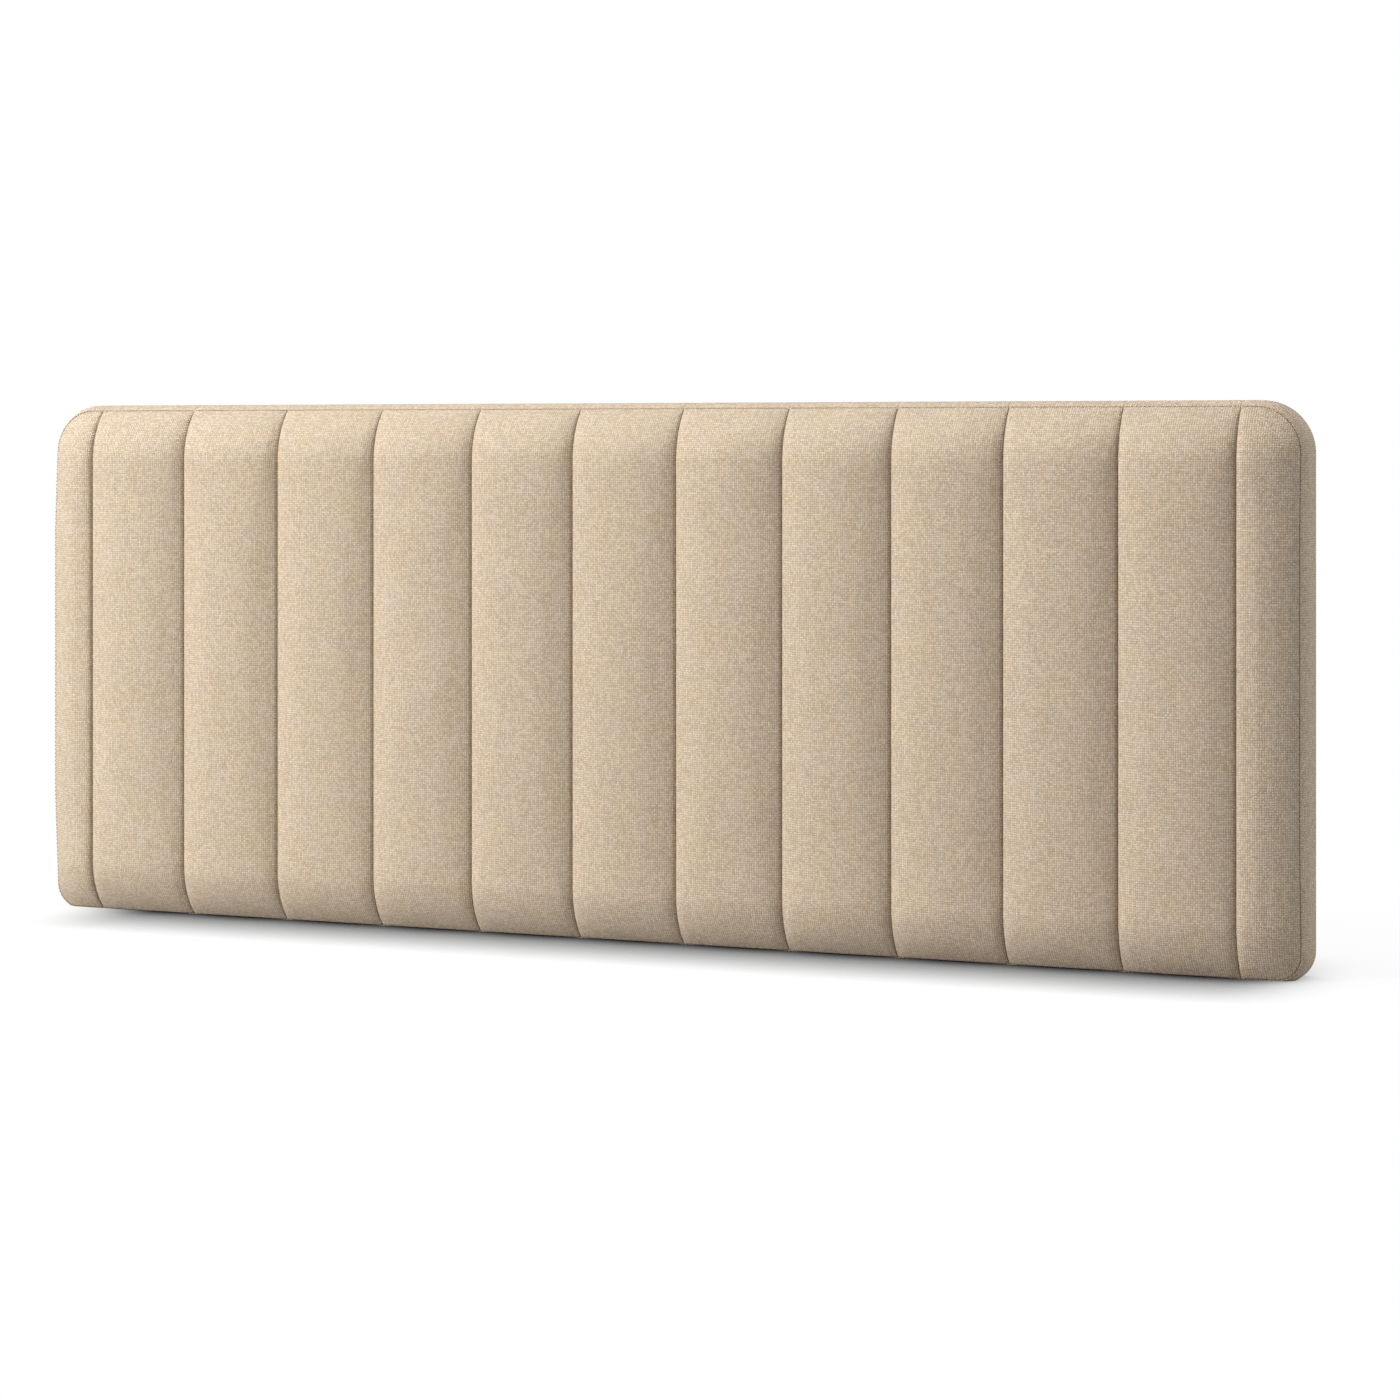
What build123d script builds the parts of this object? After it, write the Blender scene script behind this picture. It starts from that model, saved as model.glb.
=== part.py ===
from build123d import *
import os
from math import cos, pi, radians, sin, sqrt

# Upholstered headboard panel with upright sewn channels, in millimetres.
# X runs across the bed, +Y points to the wall and +Z is up. The origin lies at floor
# level under the middle of the panel.

# Channels of the front cover
channel_pitch = 127.0
full_channels = 11
channel_crown = 12.0
crown_rise_length = 60.0
crown_end_share = 0.25
flank_width_share = 0.22
flank_height_share = 0.75
outer_flank_share = 0.85
end_crown_share = 0.5

# Slow roll of the front towards the perimeter seam
roll_length = 60.0
roll_depth = 24.0
roll_station_shares = (0.1, 0.25, 0.45, 0.7, 1.0)
corner_stations = 4

# Outline and boxing band
overall_height = 610.0
top_corner_radius = 56.0
bottom_corner_radius = 34.0
band_bulge = 7.0
band_edge_radius = 26.0
seam_ditch_depth = 1.0
back_edge_radius = 10.0
base_flattening = 4.0
turn_in_width = 50.0
turn_in_corner_radius = 12.0

# Layers, from the back to the front
dust_cover_thickness = 0.5
fabric_thickness = 1.2
frame_thickness = 28.0
board_thickness = 9.0
base_foam_thickness = 9.5
seam_foam_depth = 28.0
edge_foam_thickness = 12.0
soft_clearance = 0.2

# Timber frame
stile_width = 70.0
rail_width = 70.0
upright_width = 90.0
strut_spacing = 960.0
corner_block_leg = 70.0

# Dowels and screws
dowel_radius = 4.0
dowel_length = 40.0
dowel_spacing = 36.0
dowel_clearance = 0.1
screw_radius = 2.0
screw_head_radius = 4.0
screw_head_height = 2.5
block_screw_length = 50.0
block_screw_height = 24.0
board_screw_length = 30.0
board_screw_inset = 35.0
board_screws_per_rail = 6
board_screws_per_stile = 2

# Threaded inserts for the struts
strut_bolt_radius = 4.25
strut_bolt_spacing = 160.0
strut_bolt_rise = 20.6
tee_thread_radius = 3.4
tee_barrel_radius = 5.0
tee_barrel_length = 13.0
tee_flange_radius = 11.0
tee_flange_thickness = 1.3
tee_clearance = 0.1
strut_hole_radius = 9.0

# Staples and the dust cover that they hold
staple_crown_width = 11.0
staple_wire_width = 1.2
staple_wire_thickness = 0.7
staple_leg_length = 9.0
cover_staple_inset = 43.0
cover_staple_spacing = 55.0
dust_staple_inset = 35.0
dust_staple_spacing = 85.0
dust_cover_inset = 29.0
dust_cover_corner_radius = 14.0

# How far a cutting shape runs past the piece that it cuts
overrun = 5.0

# Places worked out from the sizes above
seam_half_width = channel_pitch * (full_channels + 1) / 2
panel_half_width = seam_half_width + band_bulge
panel_base = -base_flattening
seam_top = overall_height - band_bulge
seam_bottom = panel_base + band_bulge
top_seam_radius = top_corner_radius - band_bulge
bottom_seam_radius = bottom_corner_radius - band_bulge

overall_depth = (
    dust_cover_thickness + fabric_thickness + frame_thickness + board_thickness
    + base_foam_thickness + seam_foam_depth + channel_crown
)
dust_back = overall_depth / 2
cover_back = dust_back - dust_cover_thickness
frame_back = cover_back - fabric_thickness
frame_front = frame_back - frame_thickness
board_front = frame_front - board_thickness
foam_front = board_front - base_foam_thickness
seam_front = foam_front - seam_foam_depth
perimeter_front = seam_front + roll_depth
frame_middle = (frame_front + frame_back) / 2

# The band meets the perimeter seam where its rounded front edge has drawn in by the bulge,
# and its own edge lies a little deeper, so that the seam is a narrow ditch
band_front = perimeter_front + seam_ditch_depth
band_run = sqrt(2 * band_edge_radius * band_bulge - band_bulge ** 2)
band_flat_start = perimeter_front + band_run

frame_inset = fabric_thickness + soft_clearance + edge_foam_thickness
frame_half_width = panel_half_width - frame_inset
frame_bottom = panel_base + frame_inset
frame_top = overall_height - frame_inset
rail_half_length = frame_half_width - stile_width
opening_bottom = frame_bottom + rail_width
opening_top = frame_top - rail_width


def block(low, high):
    """A rectangular block between two opposite corners."""
    size = [b - a for a, b in zip(low, high)]
    middle = [(a + b) / 2 for a, b in zip(low, high)]
    return Pos(*middle) * Box(*size)


def rod(start, direction, radius, length):
    """A round bar that runs from its start along a direction."""
    return extrude(Plane(origin=start, z_dir=direction) * Circle(radius), length)


def outline_prism(inset, front, back, top_radius, bottom_radius):
    """The panel's outline, drawn in by the inset and carried through a depth."""
    width = 2 * (panel_half_width - inset)
    low, high = panel_base + inset, overall_height - inset
    prism = block((-width / 2, front, low), (width / 2, back, high))
    upright_edges = prism.edges().filter_by(Axis.Y)
    prism = fillet(upright_edges.group_by(Axis.Z)[-1], top_radius)
    upright_edges = prism.edges().filter_by(Axis.Y)
    return fillet(upright_edges.group_by(Axis.Z)[0], bottom_radius)


def frame_prism(front, back):
    """The outline of the timber frame through a depth."""
    return outline_prism(
        frame_inset, front, back, top_corner_radius - frame_inset, bottom_corner_radius - frame_inset
    )


def boxed_body(inset, front):
    """The panel inside its boxing band, drawn in by the inset, back to the turned-in fabric."""
    edge_radius = band_edge_radius - inset
    body_front = band_flat_start - edge_radius
    body = outline_prism(
        inset, body_front, cover_back - inset, top_corner_radius - inset, bottom_corner_radius - inset
    )
    body = fillet(body.edges().group_by(Axis.Y)[0], edge_radius)
    body = fillet(body.edges().group_by(Axis.Y)[-1], back_edge_radius - inset)
    reach = panel_half_width + overrun
    kept = block((-reach, front, inset), (reach, cover_back + overrun, overall_height + overrun))
    return body & kept


# Sections of the channels

def roll_drop(distance):
    """How far the seams lie behind their middle height, at a distance from the perimeter seam."""
    radius = (roll_length ** 2 + roll_depth ** 2) / (2 * roll_depth)
    run = max(roll_length - distance, 0)
    return radius - sqrt(radius ** 2 - run ** 2)


def crown_at(distance):
    """The crown's height, which is less where the perimeter seam holds the fabric down."""
    rise = sin(min(distance / crown_rise_length, 1) * pi / 2)
    return channel_crown * (crown_end_share + (1 - crown_end_share) * rise)


def roll_stations(inset, beyond):
    """Distances from the perimeter seam along the roll, past the rounded corner."""
    distances = [inset + (roll_length - inset) * share for share in roll_station_shares]
    return [distance for distance in distances if distance > beyond]


def corner_distances(inset, radius):
    """Distances from the perimeter seam at even turns round a corner of the outline."""
    turns = [radians(90) * step / corner_stations for step in range(corner_stations + 1)]
    return [inset + (radius - inset) * (1 - cos(turn)) for turn in turns]


def outer_reach(distance, radius, inset):
    """Half width of the perimeter seam at a distance from its upper or lower run."""
    drop = max(radius - distance, 0)
    return seam_half_width - radius + sqrt(max((radius - inset) ** 2 - drop ** 2, 0))


def full_section(distance, inset, back):
    """Section of a full channel: flat back and sides, two flanks and a crown."""
    half = channel_pitch / 2 - inset
    run = flank_width_share * half
    seam_y = seam_front + roll_drop(distance) + inset
    rise = crown_at(distance)
    joint_y = seam_y - flank_height_share * rise
    crown = ThreePointArc((-half + run, joint_y), (0, seam_y - rise), (half - run, joint_y))
    flank = TangentArc((half - run, joint_y), (half, seam_y), tangent=crown % 1)
    other_flank = TangentArc((-half + run, joint_y), (-half, seam_y), tangent=-(crown % 0))
    sides = Polyline((half, seam_y), (half, back), (-half, back), (-half, seam_y))
    return Wire([*crown.edges(), *flank.edges(), *sides.edges(), *other_flank.edges()])


def end_section(distance, radius, inset, back):
    """Section of the right-hand half channel: a long outer flank drops to the perimeter seam."""
    left = seam_half_width - channel_pitch / 2 + inset
    right = outer_reach(distance, radius, inset)
    outer_run = outer_flank_share * (right - left)
    seam_y = seam_front + roll_drop(distance) + inset
    outer_y = perimeter_front + inset
    crest = (right - outer_run, seam_y - end_crown_share * crown_at(distance))
    inner_flank = TangentArc(crest, (left, seam_y), tangent=(-1, 0))
    outer_flank = TangentArc(crest, (right, outer_y), tangent=(1, 0))
    sides = Polyline((left, seam_y), (left, back), (right, back), (right, outer_y))
    return Wire([*inner_flank.edges(), *sides.edges(), *outer_flank.edges()])


def rolled(lower_runs, upper_runs):
    """A channel from its sections: each end is lofted, and the stretch between is straight.

    A run holds pairs of a distance from the perimeter seam and the section there.
    """
    pieces = []
    for run in lower_runs:
        pieces.append(Solid.make_loft([Pos(0, 0, seam_bottom + distance) * wire for distance, wire in run]))
    for run in upper_runs:
        pieces.append(Solid.make_loft([Pos(0, 0, seam_top - distance) * wire for distance, wire in run]))
    start, wire = lower_runs[-1][-1]
    height = seam_top - upper_runs[-1][-1][0] - seam_bottom - start
    straight = Solid.extrude(Face(Pos(0, 0, seam_bottom + start) * wire), Vector(0, 0, height))
    return straight.fuse(*pieces).clean()


def full_channel(inset, back):
    """A full channel with its middle on X = 0, drawn in by the inset all round."""
    distances = [inset, *roll_stations(inset, inset)]
    run = [(distance, full_section(distance, inset, back)) for distance in distances]
    return rolled([run], [run])


def end_channel(inset, back):
    """The half channel at the right-hand end, with the outline's two rounded corners."""
    ends = []
    for radius in (bottom_seam_radius, top_seam_radius):
        distances = [corner_distances(inset, radius), [radius, *roll_stations(inset, radius + overrun)]]
        runs = []
        for run in distances:
            runs.append([(distance, end_section(distance, radius, inset, back)) for distance in run])
        ends.append(runs)
    return rolled(*ends)


def channels():
    """Every channel's fabric and foam, from the left end to the right."""
    foam_inset = fabric_thickness + soft_clearance
    cover = full_channel(0, band_front) - full_channel(fabric_thickness, foam_front)
    foam = full_channel(foam_inset, foam_front)
    end_cover = end_channel(0, band_front) - end_channel(fabric_thickness, foam_front)
    end_foam = end_channel(foam_inset, foam_front)
    pieces = {}
    last = full_channels + 2
    for number in range(1, last + 1):
        names = f"channel_cover_{number:02d}", f"channel_foam_{number:02d}"
        if number == 1:
            solids = mirror(end_cover, about=Plane.YZ), mirror(end_foam, about=Plane.YZ)
        elif number == last:
            solids = end_cover, end_foam
        else:
            place = Pos(channel_pitch * (number - (last + 1) / 2), 0, 0)
            solids = place * cover, place * foam
        pieces.update(zip(names, solids))
    return pieces


# Timber frame and what joins it

def frame_members():
    """Rails between two full-height stiles, and three uprights between the rails."""
    low, high = frame_front, frame_back
    outline = frame_prism(low, high)
    edge = frame_half_width + overrun
    stile = block((rail_half_length, low, frame_bottom), (edge, high, frame_top)) & outline
    members = {
        "right_stile": stile,
        "left_stile": mirror(stile, about=Plane.YZ),
        "top_rail": block((-rail_half_length, low, opening_top), (rail_half_length, high, frame_top)),
        "bottom_rail": block(
            (-rail_half_length, low, frame_bottom), (rail_half_length, high, opening_bottom)
        ),
    }
    for name, x in upright_places().items():
        left, right = x - upright_width / 2, x + upright_width / 2
        members[name] = block((left, low, opening_bottom), (right, high, opening_top))
    return members


def upright_places():
    """Each upright's middle across the bed."""
    return {
        "left_upright": -strut_spacing / 2,
        "centre_upright": 0,
        "right_upright": strut_spacing / 2,
    }


def frame_dowels(extra):
    """Two dowels in every joint of the frame, made thicker and longer by the extra."""
    radius, length = dowel_radius + extra, dowel_length + 2 * extra
    dowels = []
    for side in (-1, 1):
        for rail_z in (frame_bottom + rail_width / 2, frame_top - rail_width / 2):
            for offset in (-dowel_spacing / 2, dowel_spacing / 2):
                start = (side * rail_half_length - length / 2, frame_middle, rail_z + offset)
                dowels.append(rod(start, (1, 0, 0), radius, length))
    for x in upright_places().values():
        for joint_z in (opening_bottom, opening_top):
            for offset in (-dowel_spacing / 2, dowel_spacing / 2):
                start = (x + offset, frame_middle, joint_z - length / 2)
                dowels.append(rod(start, (0, 0, 1), radius, length))
    return Compound(dowels)


def screw(tip, direction, length):
    """A countersunk screw that ends at its tip."""
    way = Vector(direction)
    shank = rod(tip, direction, screw_radius, length - screw_head_height)
    neck = Plane(origin=Vector(tip) + way * (length - screw_head_height), z_dir=way)
    head = loft([neck * Circle(screw_radius), neck.offset(screw_head_height) * Circle(screw_head_radius)])
    return shank + head


def corner_block():
    """The glue block of the upper right inner corner, with its two screws' recesses."""
    right, top = rail_half_length, opening_top
    leg = corner_block_leg
    corner = make_face(Polyline((right, top), (right - leg, top), (right, top - leg), close=True))
    corner = Plane.XZ * corner
    return extrude(Pos(0, frame_back, 0) * corner, frame_thickness)


def corner_screws():
    """The two screws of the upper right block and the holes that take their heads."""
    right, top = rail_half_length, opening_top
    bite = block_screw_length / 2
    recess_length = corner_block_leg - bite
    screws, recesses = [], []
    for way, entry in (
        (Vector(-1, 0, 0), Vector(right, frame_middle, top - block_screw_height)),
        (Vector(0, 0, -1), Vector(right - block_screw_height, frame_middle, top)),
    ):
        screws.append(screw(entry - way * bite, way, block_screw_length))
        recesses.append(rod(entry + way * bite, way, screw_head_radius, recess_length))
    return screws, recesses


def four_corners(shape):
    """A shape of the upper right corner, repeated in all four corners of the frame."""
    middle = Plane.XY.offset((frame_top + frame_bottom) / 2)
    low = mirror(shape, about=middle)
    return {
        "top_right": shape,
        "top_left": mirror(shape, about=Plane.YZ),
        "bottom_right": low,
        "bottom_left": mirror(low, about=Plane.YZ),
    }


def board_screws():
    """Screws that hold the facing board to the rails and the stiles."""
    rail_reach = rail_half_length - stile_width
    stile_reach = (opening_top - opening_bottom) / 2
    middle_z = (opening_top + opening_bottom) / 2
    tip_y = board_front + board_screw_length
    screws = []
    for rail_z in (frame_bottom + board_screw_inset, frame_top - board_screw_inset):
        for number in range(board_screws_per_rail):
            x = rail_reach * (2 * number / (board_screws_per_rail - 1) - 1)
            screws.append(screw((x, tip_y, rail_z), (0, -1, 0), board_screw_length))
    for side in (-1, 1):
        for number in range(board_screws_per_stile):
            z = middle_z + stile_reach * ((2 * number + 1) / board_screws_per_stile - 1)
            x = side * (frame_half_width - board_screw_inset)
            screws.append(screw((x, tip_y, z), (0, -1, 0), board_screw_length))
    return Compound(screws)


# Inserts for the struts

def strut_bolt_places():
    """Where the four strut bolts enter the back of the frame, above the bottom rail."""
    lower_bolt = opening_bottom + strut_bolt_rise
    heights = (lower_bolt, lower_bolt + strut_bolt_spacing)
    return [(side * strut_spacing / 2, z) for side in (-1, 1) for z in heights]


def tee_nut(x, z):
    """A flanged insert, let into the front of an upright with its thread towards the back."""
    start = (x, frame_front, z)
    flange = rod(start, (0, 1, 0), tee_flange_radius, tee_flange_thickness)
    barrel = rod(start, (0, 1, 0), tee_barrel_radius, tee_barrel_length)
    return flange + barrel - rod(start, (0, 1, 0), tee_thread_radius, tee_barrel_length)


def strut_hole(x, z):
    """The stepped hole through an upright: flange recess, barrel bore and bolt hole."""
    start = (x, frame_front, z)
    recess = rod(start, (0, 1, 0), tee_flange_radius + tee_clearance, tee_flange_thickness + tee_clearance)
    bore = rod(start, (0, 1, 0), tee_barrel_radius + tee_clearance, tee_barrel_length + tee_clearance)
    return recess + bore + rod(start, (0, 1, 0), strut_bolt_radius, frame_thickness)


# Fabric of the edge and the back

def region_boxes():
    """The stretches of the edge that the top and the bottom pieces take, up to the corners."""
    depth = turn_in_width + turn_in_corner_radius
    top_reach = panel_half_width - top_corner_radius
    bottom_reach = panel_half_width - bottom_corner_radius
    high, low = overall_height + overrun, panel_base - overrun
    top = block((-top_reach, -overall_depth, overall_height - depth), (top_reach, overall_depth, high))
    bottom = block((-bottom_reach, -overall_depth, low), (bottom_reach, overall_depth, panel_base + depth))
    return top, bottom


def split_ring(ring, suffix):
    """A ring round the panel as its top, bottom, left and right pieces."""
    top, bottom = region_boxes()
    reach = panel_half_width + overrun
    right = block((0, -overall_depth, -overrun), (reach, overall_depth, overall_height + overrun))
    right_piece = (ring & right) - top - bottom
    return {
        f"top_{suffix}": ring & top,
        f"bottom_{suffix}": ring & bottom,
        f"left_{suffix}": mirror(right_piece, about=Plane.YZ),
        f"right_{suffix}": right_piece,
    }


def cover_bands():
    """The boxing band, from the perimeter seam round the edge to its turned-in back."""
    outer = boxed_body(0, band_front)
    inner = boxed_body(fabric_thickness, band_front - overrun)
    opening = outline_prism(
        turn_in_width, frame_middle, dust_back, turn_in_corner_radius, turn_in_corner_radius
    )
    return split_ring(outer - inner - opening, "cover_band")


def edge_foams():
    """Foam over the edges of the frame, the board and the base foam."""
    body = boxed_body(fabric_thickness + soft_clearance, foam_front)
    core = frame_prism(foam_front - overrun, cover_back + overrun)
    return split_ring(body - core, "edge_foam")


def dust_cover():
    """The thin backing, with a hole over each strut bolt."""
    sheet = outline_prism(
        dust_cover_inset, cover_back, dust_back, dust_cover_corner_radius, dust_cover_corner_radius
    )
    for x, z in strut_bolt_places():
        sheet -= rod((x, cover_back, z), (0, 1, 0), strut_hole_radius, dust_cover_thickness)
    return sheet


def staple(back):
    """A staple on X = Z = 0, driven into the frame with its crown flush with a surface."""
    reach, half_wire = staple_crown_width / 2, staple_wire_width / 2
    tip = back - staple_leg_length
    shape = block((-reach, back - staple_wire_thickness, -half_wire), (reach, back, half_wire))
    for low in (-reach, reach - staple_wire_width):
        shape += block((low, tip, -half_wire), (low + staple_wire_width, back, half_wire))
    return shape


def staple_row(inset, spacing, back):
    """Staples at an even spacing all round the back, parallel to the nearest edge."""
    level = staple(back)
    upright = Rot(0, 90, 0) * level
    half_width = panel_half_width - inset
    low, high = panel_base + inset, overall_height - inset
    across = int(2 * half_width / spacing)
    upward = int((high - low) / spacing)
    staples = []
    for number in range(across):
        x = half_width * ((2 * number + 1) / across - 1)
        staples += [Pos(x, 0, z) * level for z in (low, high)]
    for number in range(upward):
        z = low + (high - low) * (number + 1 / 2) / upward
        staples += [Pos(x, 0, z) * upright for x in (-half_width, half_width)]
    return Compound(staples)


# The whole headboard

def headboard():
    """Every piece under its name."""
    pieces = channels()
    members = frame_members()
    blocks = four_corners(corner_block())
    screws_here, recesses_here = corner_screws()
    block_screws = [s for one in screws_here for s in four_corners(one).values()]
    recesses = [r for one in recesses_here for r in four_corners(one).values()]
    facing_screws = board_screws()
    cover_staples = staple_row(cover_staple_inset, cover_staple_spacing, cover_back)
    dust_staples = staple_row(dust_staple_inset, dust_staple_spacing, dust_back)
    bolt_holes = [strut_hole(x, z) for x, z in strut_bolt_places()]

    drilled = [frame_dowels(dowel_clearance), facing_screws, cover_staples, dust_staples]
    for name, member in members.items():
        for tool in [*drilled, *block_screws, *bolt_holes]:
            member = member - tool
        pieces[name] = member
    for corner, one in blocks.items():
        for tool in [*block_screws, *recesses]:
            one = one - tool
        pieces[f"{corner}_corner_block"] = one
    pieces["frame_dowels"] = frame_dowels(0)
    pieces["corner_block_screws"] = Compound(block_screws)

    pieces["facing_board"] = frame_prism(board_front, frame_front) - facing_screws
    pieces["facing_board_screws"] = facing_screws
    pieces["base_foam"] = frame_prism(foam_front, board_front)
    pieces["strut_tee_nuts"] = Compound([tee_nut(x, z) for x, z in strut_bolt_places()])

    pieces.update(edge_foams())
    for name, band in cover_bands().items():
        pieces[name] = band - cover_staples - dust_staples
    pieces["dust_cover"] = dust_cover() - dust_staples
    pieces["cover_staples"] = cover_staples
    pieces["dust_cover_staples"] = dust_staples
    return pieces


os.makedirs("parts", exist_ok=True)
for node, shape in headboard().items():
    export_step(shape, f"parts/{node}.step")
print("overall width", 2 * panel_half_width, "depth", overall_depth, "height", overall_height)
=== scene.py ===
from math import atan2, cos, hypot, pi, radians, sin, sqrt

import bmesh
import bpy
import numpy as np
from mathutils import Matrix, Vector
from mathutils.geometry import delaunay_2d_cdt


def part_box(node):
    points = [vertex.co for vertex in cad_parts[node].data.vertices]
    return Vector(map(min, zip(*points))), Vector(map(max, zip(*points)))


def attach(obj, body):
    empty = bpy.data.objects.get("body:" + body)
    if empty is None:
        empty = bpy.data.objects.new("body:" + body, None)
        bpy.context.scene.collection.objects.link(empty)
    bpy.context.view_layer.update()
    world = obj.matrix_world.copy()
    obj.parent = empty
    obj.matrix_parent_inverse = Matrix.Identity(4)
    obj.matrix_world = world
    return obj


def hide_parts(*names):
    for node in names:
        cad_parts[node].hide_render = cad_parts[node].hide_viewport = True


# Upholstered headboard with upright sewn channels. Metres, X across the bed, +Y to the wall,
# Z up from the floor.
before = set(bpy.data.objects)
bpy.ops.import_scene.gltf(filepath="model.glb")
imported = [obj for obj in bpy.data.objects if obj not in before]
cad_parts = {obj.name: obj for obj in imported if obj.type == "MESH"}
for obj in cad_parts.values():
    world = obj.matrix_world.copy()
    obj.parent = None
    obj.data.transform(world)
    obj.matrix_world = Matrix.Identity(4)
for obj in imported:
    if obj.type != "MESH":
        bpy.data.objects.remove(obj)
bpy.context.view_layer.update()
MM = 0.001

# Channels of the cover
PITCH = 127 * MM
FULL_CHANNELS = 11
CHANNELS = FULL_CHANNELS + 2
SEAM_PLACES = [PITCH * (seam - FULL_CHANNELS / 2) for seam in range(FULL_CHANNELS + 1)]
CROWN = 12 * MM
CREST_SWELL = 0.2
CROWN_RISE_LENGTH = 60 * MM
CROWN_END_SHARE = 0.25
FLANK_WIDTH_SHARE = 0.22
FLANK_HEIGHT_SHARE = 0.75
OUTER_FLANK_SHARE = 0.85
END_CROWN_SHARE = 0.5
ROLL_LENGTH = 60 * MM
ROLL_DEPTH = 24 * MM
END_BOW = 7 * MM
END_BOW_LENGTH = 160 * MM
FOLD_RADIUS = 0.95 * MM
SEAM_SLOT = 0.3 * MM
FULLNESS_SPREAD = 0.04
FOAM_SWELL = 0.35 * MM
FOAM_SWELL_SIZE = 130 * MM
FOAM_SWELL_FROM = 15 * MM
CLOTH_FREE_FROM = 4 * MM
# Where each channel's cloth starts on the roll, so that no two show the same stretch of it
CLOTH_SHIFT_U, CLOTH_SHIFT_V = 0.31, 0.17

# Outline and layers
HEIGHT = 610 * MM
TOP_RADIUS = 56 * MM
BOTTOM_RADIUS = 34 * MM
BAND_BULGE = 7 * MM
BAND_EDGE_RADIUS = 26 * MM
BACK_EDGE_RADIUS = 10 * MM
BASE_FLATTENING = 6 * MM
TURN_IN_WIDTH = 50 * MM
TURN_IN_CORNER_RADIUS = 12 * MM
FABRIC = 1.2 * MM

SEAM_HALF_WIDTH = PITCH * (FULL_CHANNELS + 1) / 2
HALF_WIDTH = SEAM_HALF_WIDTH + BAND_BULGE
SEAM_TOP = HEIGHT - BAND_BULGE
SEAM_BOTTOM = BAND_BULGE - BASE_FLATTENING
SEAM_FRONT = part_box("channel_cover_07")[0].y + CROWN
PERIMETER_FRONT = SEAM_FRONT + ROLL_DEPTH
FRAME_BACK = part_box("top_rail")[1].y
COVER_BACK = FRAME_BACK + FABRIC
DUST_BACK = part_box("dust_cover")[1].y
FOAM_FRONT, BOARD_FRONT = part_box("base_foam")[0].y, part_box("base_foam")[1].y
FRAME_INSET = HALF_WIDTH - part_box("right_stile")[1].x

# Small pleats of the turned-in margin, and grooves where the channels' seams meet the band
PLEATS = 5
PLEAT_DEPTH = 0.8 * MM
PLEAT_WIDTH_SHARE = 0.16
GROOVE_DEPTH = 0.7 * MM
GROOVE_HALF_WIDTH = 2.5 * MM
GROOVE_MARKS = [offset * MM for offset in (-4, -2.5, -1.4, -0.6, 0, 0.6, 1.4, 2.5, 4)]

# Backing sheet, and the members of the frame that it lies on
SHEET_THICKNESS = 0.4 * MM
SAG = 2.2 * MM
SAG_RUN = 70 * MM
SHEET_CORNER_RADIUS = 14 * MM
BOLT_HOLE_RADIUS = 9 * MM
NUT_RADIUS = 11 * MM
MEMBERS = (
    "top_rail", "bottom_rail", "left_stile", "right_stile", "left_upright", "centre_upright",
    "right_upright", "top_left_corner_block", "top_right_corner_block",
    "bottom_left_corner_block", "bottom_right_corner_block",
)

# How finely the forms are sampled
CROWN_POINTS, FLANK_POINTS, OUTER_FLANK_POINTS = 24, 16, 40
FOLD_SHARES = (0, 0.04, 0.16, 0.4, 0.75, 1.1)
CORNER_ROW_TURN = 5
ROLL_ROW_STEP = 4 * MM
MIDDLE_ROWS = 90
FULL_CHANNEL_STEP, END_CHANNEL_STEP = 5 * MM, 4 * MM
BAND_CORNER_PARTS, BAND_LONG_PARTS, BAND_END_PARTS = 73, 140, 60
SHEET_STEP = 12 * MM
HOLE_POINTS = 28
SHARP_ANGLE = radians(55)

# Settling of the cloth
CLOTH_COLUMNS_PER_CHANNEL, CLOTH_ROWS = 16, 84
CLOTH_FRAMES = 16
CLOTH_SMOOTHINGS = 6
CLOTH_HELD_STRIP = 2 * MM
CLOTH_MOVE_CAP = 1.5 * MM

# Threads: spacing, length and radius, and where they lie
SEAM_THREAD = (4.2 * MM, 2.6 * MM, 0.24 * MM)
EDGE_THREAD = (4.6 * MM, 3.5 * MM, 0.34 * MM)
# Dark beads of painted shade beside the seams, where the stitches draw the cloth in
PULL_SHADE_BEAD = (3.4 * MM, 1.8 * MM, 0.36 * MM)
SEAM_THREAD_DEPTH = 1.1 * MM
EDGE_THREAD_INSET, EDGE_THREAD_DEPTH = BAND_BULGE - 0.9 * MM, 0.3 * MM
PULL_SHADE_BEAD_ASIDE, PULL_SHADE_BEAD_LIFT = -1.7 * MM, 0.4 * MM

# Studio: the lamps' place, target, size and power, and the even fill from all round
LAMPS = {
    "key": ((-3.6, -4.0, 2.3), (0, 0, 0.3), (1.7, 1.7), 355),
    "top": ((-0.3, -0.4, 4.2), (0, 0, 0.2), (2.6, 1.4), 84),
    "side": ((3.4, 0.9, 1.2), (0.77, 0, 0.3), (1.2, 1.2), 32),
}
FILL = 0.25
FLOOR_GREY = 0.38
# The painted shadow near the object: how far its occlusion reaches, its power, and where it fades
# past the ends
SHADOW_REACH = 0.145
SHADOW_POWER = 1.75
SHADOW_FADE_RIGHT, SHADOW_FADE_LEFT = (0.69, 0.82), (0.62, 0.755)
# The floor turns plain white between these distances, which count less along the panel
WHITE_NEAR, WHITE_FAR = 0.35, 0.8
WHITE_SHARE_NEAR = 0.88
WHITE_SQUEEZE = 0.55

# Camera, measured in pixels of a 1400 pixel wide picture
PICTURE_WIDTH = 1400
FOCAL_PIXELS = 3295
SHIFT_PIXELS = -258
CAMERA_PLACE = (1.483, -3.435, 0.5656)
CAMERA_YAW = radians(22.22)

rng = np.random.default_rng(7)


# Mesh helpers

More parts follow.
